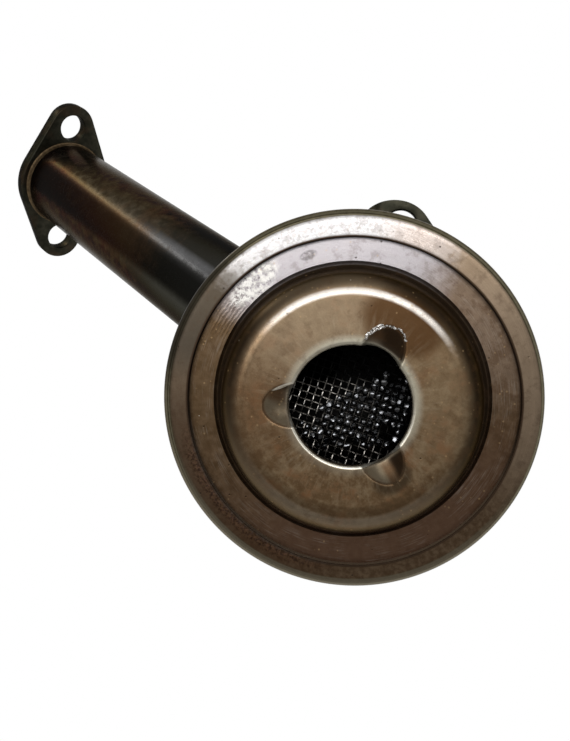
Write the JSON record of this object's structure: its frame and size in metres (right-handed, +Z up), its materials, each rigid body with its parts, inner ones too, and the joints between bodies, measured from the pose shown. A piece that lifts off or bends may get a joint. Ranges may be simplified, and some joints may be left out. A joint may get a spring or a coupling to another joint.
{
  "type": "oil pickup tube",
  "caption": "Engine oil pickup: round strainer head with a domed inlet cover and wire screen, a slanted suction tube, a two-ear flange and a side bracket.",
  "frame": {"origin": "a point on the mounting face of the tube flange, between the bolt hole and the tip of the ear that points to -Y", "axes": "+Z is up as installed: the inlet faces -Z and the mounting face of the bracket faces +Z; the tube rises from the head towards +X at 46.7 degrees from +Z"},
  "size_m": [0.1563, 0.074, 0.1425],
  "materials": {
    "bell_steel": "grey-brown steel, oil stained, with rust specks by the seam",
    "cover_steel": "satin bronze-brown oxide, mottled",
    "screen_wire": "dark wire, wet with oil",
    "tube_steel": "charcoal with brown heat tint, satin",
    "ear_steel": "charcoal, satin",
    "filler": "dull brown filler metal"
  },
  "bodies": {
    "root": {"bell_housing": "bell_steel", "inlet_cover": "cover_steel", "strainer_screen": "screen_wire", "pickup_tube": "tube_steel", "tube_flange": "ear_steel", "strainer_bracket": "ear_steel", "bell_joint_bead": "filler", "flange_joint_bead": "filler", "bracket_weld": "filler"}
  },
  "joints": []
}
